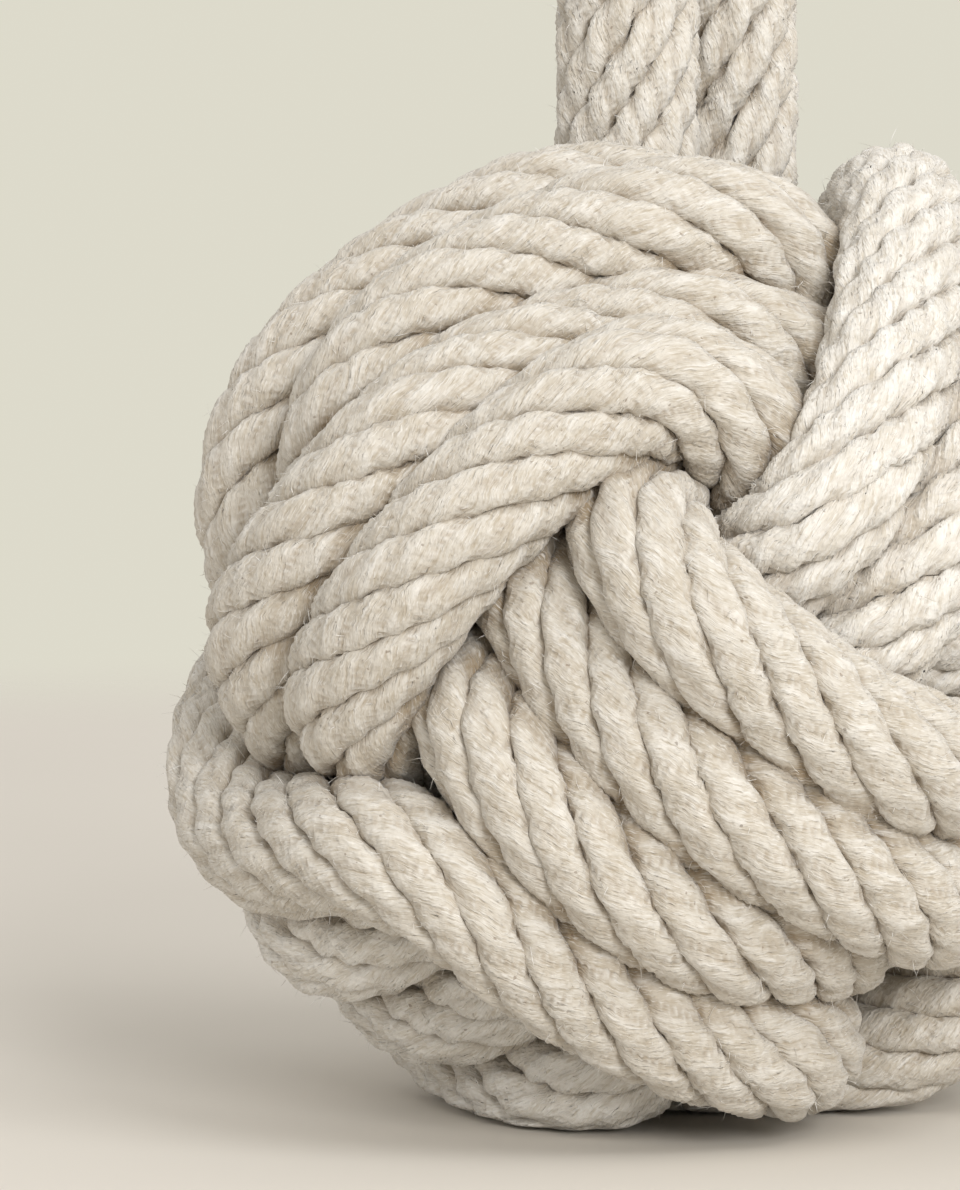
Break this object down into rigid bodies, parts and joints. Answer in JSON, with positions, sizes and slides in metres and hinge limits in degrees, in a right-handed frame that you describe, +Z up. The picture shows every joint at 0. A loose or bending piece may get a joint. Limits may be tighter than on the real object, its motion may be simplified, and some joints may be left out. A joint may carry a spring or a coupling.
{
  "type": "rope knot doorstop",
  "caption": "Ball of thick rope tied in three crossing bands round a heavy core, with a rope loop handle on top that leans.",
  "frame": {"origin": "middle of the part's box, on the plane that the underside rests on", "axes": "+Z up through the handle; -Y towards the side with the corner where three bands meet"},
  "size_m": [0.1584, 0.1608, 0.2885],
  "materials": {
    "rope": "natural cotton, matt",
    "twine": "waxed twine",
    "iron": "as cast"
  },
  "bodies": {
    "knot": {"knot_rope": "rope", "handle_root_left": "rope", "handle_root_right": "rope", "core_weight": "iron", "whipping_rope_start": "twine", "whipping_rope_finish": "twine", "whipping_handle_left": "twine", "whipping_handle_right": "twine"},
    "handle": {"handle_loop": "rope"}
  },
  "joints": [
    {"name": "handle_lean", "type": "hinge", "parent": "knot", "child": "handle", "pos_m": [0.00395, 0.02322, 0.16062], "axis": [0.766, 0.6428, 0], "range_deg": [-15, 15], "stiffness_Nm_per_rad": 0.6}
  ]
}
